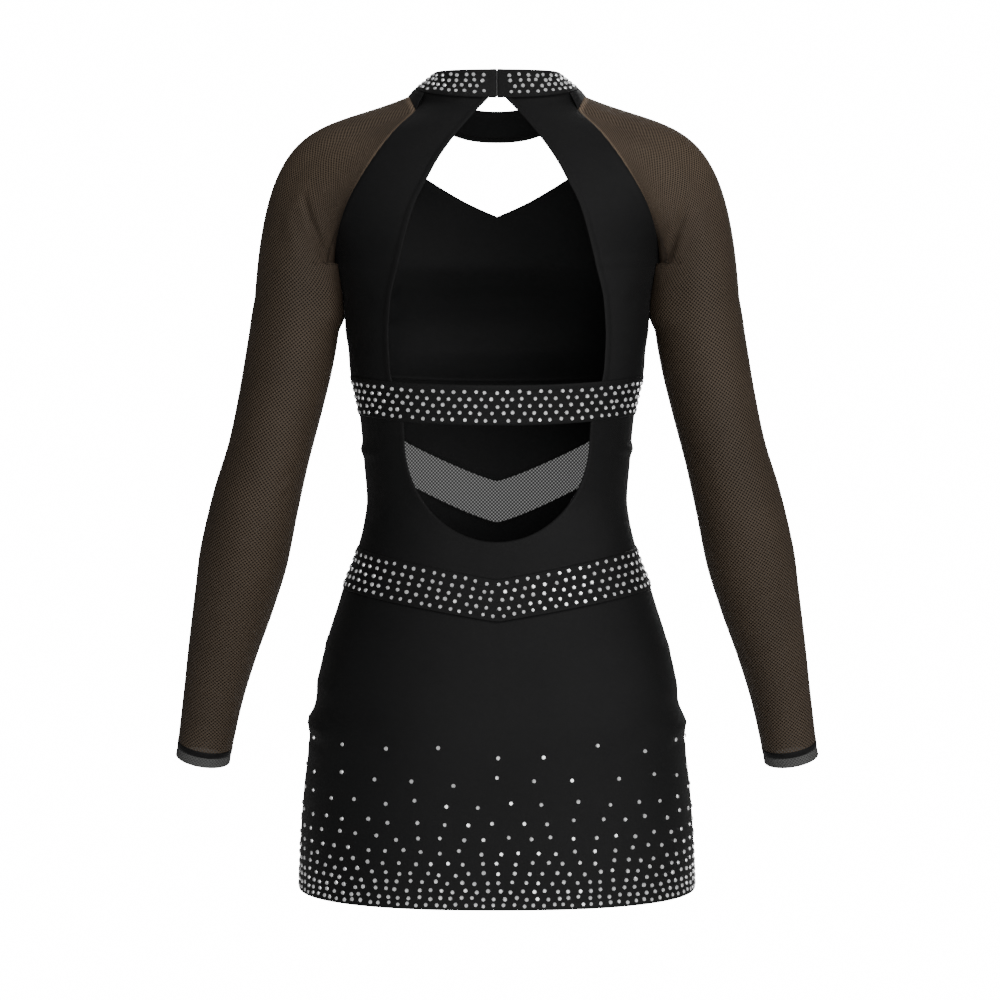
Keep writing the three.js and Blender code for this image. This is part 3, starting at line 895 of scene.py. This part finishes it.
def build_collar():
    band = Grid(collar_band, step=4.0, edges="hhhh")
    panel_of("stand_collar", "collar", STONED, band)
    inset = DOUBLED_WALL - PROUD + UNDERLAP["clear"]
    right, left = foot_angle(UNDERLAP["right"]), foot_angle(UNDERLAP["left"])

    def tab_place(u, v):
        down = lerp(UNDERLAP["top"], UNDERLAP["foot"], v)
        return collar_point(lerp(right, left, u), down, inset)

    # The tab is painted light grey, for the light seen through the gap between the collar's ends
    tab = Grid(tab_place, step=4.0, edges="hhhh")
    panel_of("opening_tab", "collar_underlap", TAB, tab)


# ---- back and front panels ----

# A back panel's outer edge by rows: the shoulder, the raglan seam, then the side seam
OUTER = [
    dict(x=SHOULDER_SEAM["mid_x"], z=SHOULDER_SEAM["mid_z"]),
    *RAGLAN_BACK,
    dict(x=TORSO[0]["half"], z=UNDERARM_Z),
]
SIDE_RISE = 4
SIDE_SEAM = [*(row["z"] + SIDE_RISE for row in KEYHOLE_LOW), BAND_TOP["side"] - TUCK]
UNDERARM_ROW = len(OUTER) - 1
outer_x = track([row["x"] for row in OUTER])
outer_z = track([*(row["z"] for row in OUTER), *SIDE_SEAM])


def panel_edge(at):
    """Angle and height of a back panel's outer edge, by row."""
    z = outer_z(at)
    return (BACK.angle(outer_x(at), z) if at < UNDERARM_ROW else math.pi / 2), z


def build_back_panels():
    inner = [
        dict(x=(KEYHOLE_TOP + KEYHOLE[0]["x"]) / 2, z=(COLLAR_FOOT["mid"] + KEYHOLE[0]["z"]) / 2),
        *KEYHOLE,
        *KEYHOLE_LOW,
        dict(x=KEYHOLE_FOOT, z=band_top(BACK.angle(KEYHOLE_FOOT, BAND_TOP["mid"])) - TUCK),
    ]
    inner_x, inner_z = (track([row[key] for row in inner]) for key in "xz")
    last = len(inner) - 1

    def place(u, v):
        at = v * (last + 1) - 1
        row = max(at, 0)
        in_z = inner_z(row)
        out_angle, out_z = panel_edge(row)
        angle = lerp(BACK.angle(inner_x(row), in_z), out_angle, u)
        z = lerp(in_z, out_z, u)
        if at > last - 1:
            z = lerp(z, band_top(angle) - TUCK, at - last + 1)
        point = BACK.point(angle, z)
        if at >= 0:
            return point
        ring = lerp(foot_angle(KEYHOLE_TOP), foot_angle(SHOULDER_SEAM["x"]), u)
        return point.lerp(collar_edge(COLLAR_FOOT, ring), -at)

    for word, flip in SIDES:
        panel = Grid(place, step=3.5, edges="hs--", folds=creases("torso", flip))
        panel_of(f"back_panel_{word}", f"back_{word}", PLAIN, panel, flip)


def strap_place():
    """The strap as one surface: from the shoulder seam behind to the bodice in front."""
    stations = [
        (collar_edge(COLLAR_FOOT, math.radians(row["ring"])), Vector((row["x"], row["y"], row["z"])))
        for row in STRAP
    ]
    for row in STRAP_FRONT:
        inside = Vector((row["in_x"], row["in_y"], row["in_z"]))
        stations.append((inside, Vector((row["x"], row["y"], row["z"]))))
    ends = [NECKLINE[i] for i in (STRAP_FIRST, STRAP_LAST)]
    stations.append(tuple(FRONT.point(FRONT.angle(row["x"], row["z"]), row["z"]) for row in ends))
    lines = [
        [track([station[side][axis] for station in stations]) for axis in range(3)]
        for side in (0, 1)
    ]
    last = len(stations) - 1
    near = 0.2

    def edge(side, at):
        return Vector([line(at) for line in lines[side]])

    def place(u, v):
        at = v * last
        inside, outside = edge(0, at), edge(1, at)
        ahead, behind = min(at + near, last), max(at - near, 0)
        along = edge(0, ahead) + edge(1, ahead) - edge(0, behind) - edge(1, behind)
        up = along.normalized().cross(outside - inside) * STRAP_CROWN
        point = inside.lerp(outside, u) + up * 4 * u * (1 - u)
        if at > last - 1:
            neck = lerp(STRAP_FIRST, STRAP_LAST, u)
            root = FRONT.point(*neck_point(neck))
            point = point.lerp(root, at - last + 1)
        return point

    return place


NECK_PARTS = ((0, STRAP_FIRST), (STRAP_FIRST, STRAP_LAST), (STRAP_LAST, len(NECKLINE)))
NECK_ROWS = [*NECKLINE, dict(z=UNDERARM_Z, x=TORSO[0]["half"], foot=TORSO[5]["half"])]
NECK_TRACKS = [
    {key: track([row[key] for row in NECK_ROWS[a:b + 1]]) for key in ("z", "x", "foot")}
    for a, b in NECK_PARTS
]


def neck_values(at):
    """Height, x and foot x of the bodice's top edge, by row of its table."""
    for (a, b), tracks in zip(NECK_PARTS, NECK_TRACKS):
        if at <= b:
            return [tracks[key](at - a) for key in ("z", "x", "foot")]
    return [NECK_ROWS[-1][key] for key in ("z", "x", "foot")]


def neck_point(at):
    z, x, _ = neck_values(at)
    return FRONT.angle(x, z), z


def build_bodice():
    last = len(NECK_ROWS) - 1

    def place(u, v):
        side = 2 * u - 1
        at = abs(side) * last
        z, x, foot = neck_values(at)
        top = math.copysign(FRONT.angle(x, z), side)
        low = math.copysign(FRONT.angle(foot, BAND_TOP["mid"]), side)
        if at > last - TINY:
            top = low = math.copysign(math.pi / 2, side)
        return FRONT.point(lerp(top, low, v), lerp(z, band_top(low) - TUCK, v))

    body = Grid(place, step=4.0, edges="ss--", folds=creases("torso"))
    strap = Grid(strap_place(), step=4.0, edges="h---")
    grids = [(body, False), (strap, False), (strap, True)]
    piece = cloth("front_panel", "front_bodice", PLAIN, grids, join=0.3)


# ---- bands, midriff, net V and skirt ----

def side_strip(side, top, foot, reach=0.0):
    """place(u, v) for a strip of one side of the torso, stood out by reach."""
    def place(u, v):
        angle = lerp(-math.pi / 2, math.pi / 2, u)
        point = side.point(angle, lerp(top(angle), foot(angle), v))
        if reach:
            out = Vector((point.x / side.half(point.z), point.y / side.depth(point.z), 0))
            point += out.normalized() * reach
        return point
    return place


def round_strip(top, foot, reach):
    """place(u, v) for a strip right round the body, from one side seam back to it."""
    behind = side_strip(BACK, top, foot, reach)
    before = side_strip(FRONT, top, foot, reach)

    def place(u, v):
        return behind(2 * u, v) if u <= 0.5 else before(2 - 2 * u, v)
    return place


def build_band(name, node, top, foot):
    band = Grid(round_strip(top, foot, PROUD), step=4.5, edges="--hh")
    panel_of(name, node, STONED, band)


# Where the inner and outer lines of the back midriff turn the corner
OPENING_TURN = 0.16
SIDE_TURN = 0.42


def build_back_midriff():
    """The back midriff: lines run from the opening's edge out to the sides and the belt."""
    half, level, drop = BACK_OPENING["half"], BACK_OPENING["z"], BACK_OPENING["drop"]
    edge = BACK.angle(half, level)
    top = band_foot(edge) + TUCK
    side_top, side_low = band_foot(math.pi / 2) + TUCK, belt_top(math.pi / 2) - TUCK

    def inner(share):
        """The opening's edge, from the band down to the lowest point."""
        if share < OPENING_TURN:
            return edge, lerp(top, level, share / OPENING_TURN)
        turn = lerp(math.pi / 2, 0, (share - OPENING_TURN) / (1 - OPENING_TURN))
        z = level - drop * math.cos(turn)
        return BACK.angle(half * math.sin(turn), z), z

    def outer(share):
        """Down the side seam, then along the belt to the centre back."""
        if share < SIDE_TURN:
            return math.pi / 2, lerp(side_top, side_low, share / SIDE_TURN)
        angle = lerp(math.pi / 2, 0, (share - SIDE_TURN) / (1 - SIDE_TURN))
        return angle, belt_top(angle) - TUCK

    def place(u, v):
        side = 2 * u - 1
        share = 1 - abs(side)
        (in_angle, in_z), (out_angle, out_z) = inner(share), outer(share)
        angle = math.copysign(lerp(in_angle, out_angle, v), side)
        return BACK.point(angle, lerp(in_z, out_z, v))

    folds = creases("torso")
    panel = Grid(place, step=3.5, edges="--hs", folds=folds, rows_even=False)
    panel_of("midriff_back", "back_midriff", PLAIN, panel, **BACK_CUT)


def build_front_midriff():
    folds = creases("torso")
    yoke = Grid(side_strip(FRONT, moved(band_foot, TUCK), net_top), 4.0, "ss-s", folds)
    panel_of("yoke_front", "front_yoke", PLAIN, yoke, length=FRONT_CUT["yoke"])
    lap = NET_V["lap"]
    strip = side_strip(FRONT, moved(net_top, lap), moved(net_foot, -lap), -NET_V["within"])
    net = Grid(strip, step=4.0, folds=folds, weave="level")
    panel_of("net_v_front", "front_chevron_mesh", V_NET, net, length=FRONT_CUT["net"])
    low = Grid(side_strip(FRONT, net_foot, moved(belt_top, -TUCK)), 4.0, "sss-", folds)
    panel_of("midriff_front", "front_midriff", PLAIN, low, length=FRONT_CUT["midriff"])


def build_skirt():
    for side, word in FACES:
        place = side_strip(side, moved(belt_foot, TUCK), lambda angle: HEM_Z)
        half = Grid(place, step=4.5, edges="ss-h", folds=creases("skirt"))
        panel_of(f"skirt_{word}_panel", f"skirt_{word}", PLAIN, half)


# ---- sleeves ----

def armhole():
    """The armhole loop as a function: up the back seam, along the strap, down the front."""
    strap = strap_place()
    strap_rows = len(STRAP) + len(STRAP_FRONT)
    behind = UNDERARM_ROW - 1
    before = len(NECK_ROWS) - 1 - STRAP_LAST
    total = behind + strap_rows + before

    def at_share(share):
        at = share * total
        if at <= behind:
            return BACK.point(*panel_edge(UNDERARM_ROW - at))
        if at <= behind + strap_rows:
            return strap(1, (at - behind) / strap_rows)
        return FRONT.point(*neck_point(STRAP_LAST + at - behind - strap_rows))
    return at_share


def seam_lip(seam, leave):
    """Where the net starts: a little back from the seam line and under the panel's edge."""
    up = SEAM_LIP["up"] + max(0, seam.z - SEAM_LIP["level"])
    out = Vector((SEAM_LIP["sideways"] * seam.x, seam.y, up)).normalized()
    return seam + (seam - leave).normalized() * SEAM_LIP["back"] - out * SEAM_LIP["under"]


def against_body(point, middle, half):
    """Presses the inner side of the sleeve to the body under the arm."""
    z = point.z
    if not ARMPIT["foot"] < z < ARMPIT["top"]:
        return point
    side = BACK if point.y > 0 else FRONT
    share = min(1, abs(point.y) / side.depth(z))
    body = side.half(z) * (1 - share ** POWER) ** (1 / POWER) + ARMPIT["clear"]
    inner = swell(((middle.x - point.x) / half - ARMPIT["inner"]) / ARMPIT["spread"])
    press = ARMPIT["press"] * inner * swell((z - ARMPIT["foot"]) / ARMPIT["fade"])
    return Vector((min(point.x, max(point.x - press, body)), point.y, z))


def arm_frame():
    """The arm's middle line, its two half widths and its two side directions."""
    lines = {key: track([row[key] for row in ARM]) for key in ("x", "y", "z", "wide", "deep")}
    last = len(ARM) - 1
    near = 0.5

    def middle(at):
        return Vector([lines[key](at) for key in ("x", "y", "z")])

    def ring(share, at):
        run = (middle(min(at + near, last)) - middle(max(at - near, 0))).normalized()
        outward = (Vector((1, 0, 0)) - run * run.x).normalized()
        backward = outward.cross(run)
        turn = 2 * math.pi * share
        return (
            middle(at)
            - outward * lines["wide"](at) * math.cos(turn)
            + backward * lines["deep"](at) * math.sin(turn)
        )
    return middle, ring, last


def build_sleeves():
    loop = armhole()
    middle, ring, last = arm_frame()

    def cap(share, t):
        seam = loop(share)
        end = ring(share, 0)
        way = end - seam
        drop = -way.z
        lift = drop * (CAP["lift"] + CAP["top_lift"] * drop / CAP["run"])
        leave = seam + Vector((CAP["out"] * way.x, CAP["out"] * way.y, -CAP["fall"] * drop))
        arrive = end + Vector((-CAP["inward"] * way.x, -CAP["inward"] * way.y, lift))
        start = seam_lip(seam, leave)
        back = 1 - t
        return (
            start * back ** 3 + leave * 3 * back * back * t
            + arrive * 3 * back * t * t + end * t ** 3
        )

    def place(u, v):
        at = v * (last + CAP_SHARE)
        if at < CAP_SHARE:
            return against_body(cap(u, at / CAP_SHARE), middle(0), ARM[0]["wide"])
        return against_body(ring(u, at - CAP_SHARE), middle(at - CAP_SHARE), ARM[0]["wide"])

    wrist = Vector([ARM[-1][key] for key in ("x", "y", "z")])
    run = Vector([CUFF_END[key] for key in ("x", "y", "z")]) - wrist
    narrower = CUFF_END["wide"] / ARM[-1]["wide"]

    def cuff_place(u, v):
        return wrist + (ring(u, last) - wrist) * lerp(1.0, narrower, v) + run * v

    def tape_place(u, v):
        at = last + lerp(-HEM_TAPE["share"], 0, v)
        return middle(at) + (ring(u, at) - middle(at)) * HEM_TAPE["wider"]

    cuff = Grid(cuff_place, step=2.0, weave="foot")
    tape = Grid(tape_place, step=2.0)
    for word, flip in SIDES:
        folds = creases("sleeve", flip)
        body = Grid(place, step=3.6, folds=folds, held=SLEEVE_HELD, weave="foot")
        sleeve = cloth(f"sleeve_net_{word}", f"sleeve_{word}", SLEEVE_NET, [(body, flip)])
        hem = cloth(f"sleeve_hem_{word}", None, TAPE, [(tape, flip)])
        panel_of(f"cuff_net_{word}", f"cuff_{word}", CUFF_NET, cuff, flip, length=CUFF_DEPTH)


# ---- stones ----

def stone_template():
    """A flat-backed round stone: a low cone of eight facets under a flat table."""
    bm = bmesh.new()
    bmesh.ops.create_cone(
        bm, cap_ends=True, segments=8, radius1=GEM["radius"] * MM, radius2=GEM["table"] * MM,
        depth=GEM["height"] * MM,
    )
    rise = (GEM["height"] / 2 - GEM["sunk"]) * MM
    bmesh.ops.translate(bm, verts=bm.verts, vec=(0, 0, rise))
    mesh = bpy.data.meshes.new("stone_shape")
    bm.to_mesh(mesh)
    bm.free()
    return mesh


def set_stones(name, spots, rng):
    """One joined piece of stones, each stood on its spot and turned by chance."""
    shape = stone_template()
    bm = bmesh.new()
    for point, out in spots:
        count = len(bm.verts)
        bm.from_mesh(shape)
        bm.verts.ensure_lookup_table()
        new = bm.verts[count:]
        spin = Matrix.Rotation(rng.uniform(0, math.pi), 4, "Z")
        tilt = Vector((rng.gauss(0, JITTER["lean"]), rng.gauss(0, JITTER["lean"]), 1))
        lean = tilt.rotation_difference((0, 0, 1)).to_matrix().to_4x4()
        stand = out.to_track_quat("Z", "Y").to_matrix().to_4x4()
        size = Matrix.Scale(rng.uniform(JITTER["small"], JITTER["large"]), 4)
        matrix = Matrix.Translation(point * MM) @ stand @ lean @ spin @ size
        bmesh.ops.transform(bm, matrix=matrix, verts=new)
    bpy.data.meshes.remove(shape)
    piece = finish_piece(bm, name, STONE)
    return piece


def facing(place, u, v, centre):
    """A point of a surface and the direction that it faces, away from a centre."""
    small = 0.002
    across = place(min(u + small, 1), v) - place(max(u - small, 0), v)
    down = place(u, min(v + small, 1)) - place(u, max(v - small, 0))
    out = across.cross(-down).normalized()
    point = place(u, v)
    return point, out if out.dot(point - centre) > 0 else -out


def stone_rows(place, plan, rng, centre, behind):
    """Spots in staggered rows on a strip, with the small unevenness of hand setting.

    On a strip right round the body the rows are counted from its middle behind, at u
    behind; on one with ends they start a given way from each.
    """
    height = polyline(lambda v: place(0.25, v))[-1]
    start = plan.get("start", 0)
    spots = []
    for r in range(plan["rows"]):
        v = lerp(plan["top"] / height, 1 - plan["foot"] / height, r / (plan["rows"] - 1))
        pace, length = even(lambda u: place(u, v), 160)
        middle = polyline(lambda u: place(u * behind, v), 80)[-1] if behind else start
        stagger = plan["stagger"][r % len(plan["stagger"])]
        count = round((length - 2 * start) / plan["spacing"])
        step = (length - 2 * start) / count
        for i in range(count + (1 if start and not stagger else 0)):
            way = middle + (i + stagger) * step + rng.gauss(0, JITTER["along"])
            down = rng.gauss(0, JITTER["down"]) / height
            way = way if start else way % length
            spots.append(facing(place, pace(way / length), v + down, centre))
    return spots


def build_stones():
    rng = random.Random(11)
    band = round_strip(band_top, band_foot, PROUD)
    belt = round_strip(belt_top, belt_foot, PROUD)
    strips = (
        ("collar_stones", collar_band, COLLAR_ROWS, 0, 0),
        ("underbust_stones", band, BAND_ROWS, BAND_LEVEL, MIDDLE_BEHIND),
        ("belt_stones", belt, BELT_ROWS, BELT_LEVEL, MIDDLE_BEHIND),
    )
    for name, place, rows, level, behind in strips:
        set_stones(name, stone_rows(place, rows, rng, Vector((0, 0, level)), behind), rng)
    for side, word in FACES:
        set_stones(f"skirt_stones_{word}", skirt_spots(side, rng), rng)


def skirt_spots(side, rng):
    """Skirt stones: rows crowded at the hem and ever further apart above it."""
    plan, uneven = SKIRT_STONES, SKIRT_JITTER
    place = side_strip(side, lambda angle: HEM_Z + plan["top"], lambda angle: HEM_Z)
    centre = Vector((0, 0, HEM_Z))
    height, spots, phase = plan["first"], [], plan["phase"]
    while height < plan["top"]:
        apart = plan["close"] + plan["rise"] * height + plan["bend"] * height ** 2
        pace, length = even(lambda u: place(u, 1 - height / plan["top"]), 120)
        count = round(length / apart * plan["gap"])
        for i in range(count):
            shift = rng.uniform(-uneven["along"], uneven["along"])
            way = (i + phase + shift) * length / count
            up = height + rng.uniform(-uneven["up"], uneven["up"]) * apart
            spots.append(facing(place, pace(way / length), 1 - up / plan["top"], centre))
        height += plan["gap"] * apart
        phase = (phase + 0.5 + rng.uniform(-uneven["phase"], uneven["phase"])) % 1
    return spots


# ---- surroundings ----

AMBIENT = 0.16
BACKDROP = dict(bare=16.0, each_net=0.15)
FLOOR = dict(size=6.0, z=-1.42)
# Soft lamps, all aimed at the middle of the garment: places and sizes in metres
AIM = Vector((0, 0, -0.38))
LIGHTS = table(
    "name x y z size power",
    ("key", -1.7, 2.6, 0.6, 2.2, 62),
    ("fill", -0.1, 3.1, -0.15, 1.35, 25),
    ("front_key", -0.5, -3.0, 0.7, 2.0, 45),
    ("front_fill", 0.1, -3.1, -0.15, 1.35, 20),
    ("top", 0, 0, 2.2, 1.2, 15),
)
CAMERA = dict(x=-0.00285, z=-0.209, distance=2.8, sensor=36, mm_a_pixel=0.95, shift=-0.185)


def seen_white(n, lit, seen, strength, output):
    """Shows the camera a white glow, ever softer for each face of net before it.

    Everything else gets the light of the plain shader.
    """
    path = n.add("ShaderNodeLightPath")
    left = n.math("POWER", BACKDROP["each_net"], path.outputs["Transparent Depth"])
    n.join(n.math("MULTIPLY", left, BACKDROP["bare"]), strength)
    mix = n.add("ShaderNodeMixShader")
    for source, target in zip((path.outputs["Is Camera Ray"], lit, seen), mix.inputs):
        n.join(source, target)
    n.join(mix.outputs[0], output)


def build_stage():
    bm = bmesh.new()
    bmesh.ops.create_grid(bm, x_segments=1, y_segments=1, size=FLOOR["size"])
    bmesh.ops.translate(bm, verts=bm.verts, vec=(0, 0, FLOOR["z"]))
    mesh = bpy.data.meshes.new("floor")
    bm.to_mesh(mesh)
    bm.free()
    floor = bpy.data.objects.new("floor", mesh)
    bpy.context.scene.collection.objects.link(floor)
    pale = Finish("pale_floor")
    glow = pale.add("ShaderNodeEmission")
    pale.shader.inputs["Base Color"].default_value = (0.8, 0.8, 0.8, 1)
    pale.set(Roughness=0.9)
    output = pale.tree.nodes["Material Output"].inputs[0]
    seen_white(pale, pale.shader.outputs[0], glow.outputs[0], glow.inputs[1], output)
    mesh.materials.append(pale.material)


def build_lights():
    world = bpy.data.worlds.new("studio")
    bpy.context.scene.world = world
    n = Nodes(world)
    seen, lit = n.tree.nodes["Background"], n.add("ShaderNodeBackground")
    seen.inputs[0].default_value = (1, 1, 1, 1)
    lit.inputs[0].default_value = (1.0, 0.99, 0.98, 1)
    lit.inputs[1].default_value = AMBIENT
    output = n.tree.nodes["World Output"].inputs[0]
    seen_white(n, lit.outputs[0], seen.outputs[0], seen.inputs[1], output)
    for row in LIGHTS:
        light = bpy.data.lights.new(row["name"], "AREA")
        light.energy = row["power"]
        light.size = row["size"]
        lamp = bpy.data.objects.new(row["name"], light)
        lamp.location = row["x"], row["y"], row["z"]
        lamp.rotation_euler = (AIM - lamp.location).to_track_quat("-Z", "Y").to_euler()
        bpy.context.scene.collection.objects.link(lamp)


def build_camera():
    camera = bpy.data.cameras.new("camera")
    camera.sensor_width = CAMERA["sensor"]
    picture = CAMERA["mm_a_pixel"] * 1000 * MM
    camera.lens = CAMERA["sensor"] * CAMERA["distance"] / picture
    camera.shift_y = CAMERA["shift"]
    view = bpy.data.objects.new("camera", camera)
    view.location = CAMERA["x"], CAMERA["distance"], CAMERA["z"]
    view.rotation_euler = (math.pi / 2, 0, math.pi)
    bpy.context.scene.collection.objects.link(view)
    bpy.context.scene.camera = view


build_camera()
build_stage()
build_lights()
build_collar()
build_back_panels()
build_bodice()
build_band("underbust_band_cloth", "underbust_band", band_top, band_foot)
build_back_midriff()
build_front_midriff()
build_band("belt_cloth", "hip_belt", belt_top, belt_foot)
build_skirt()
build_sleeves()
build_stones()
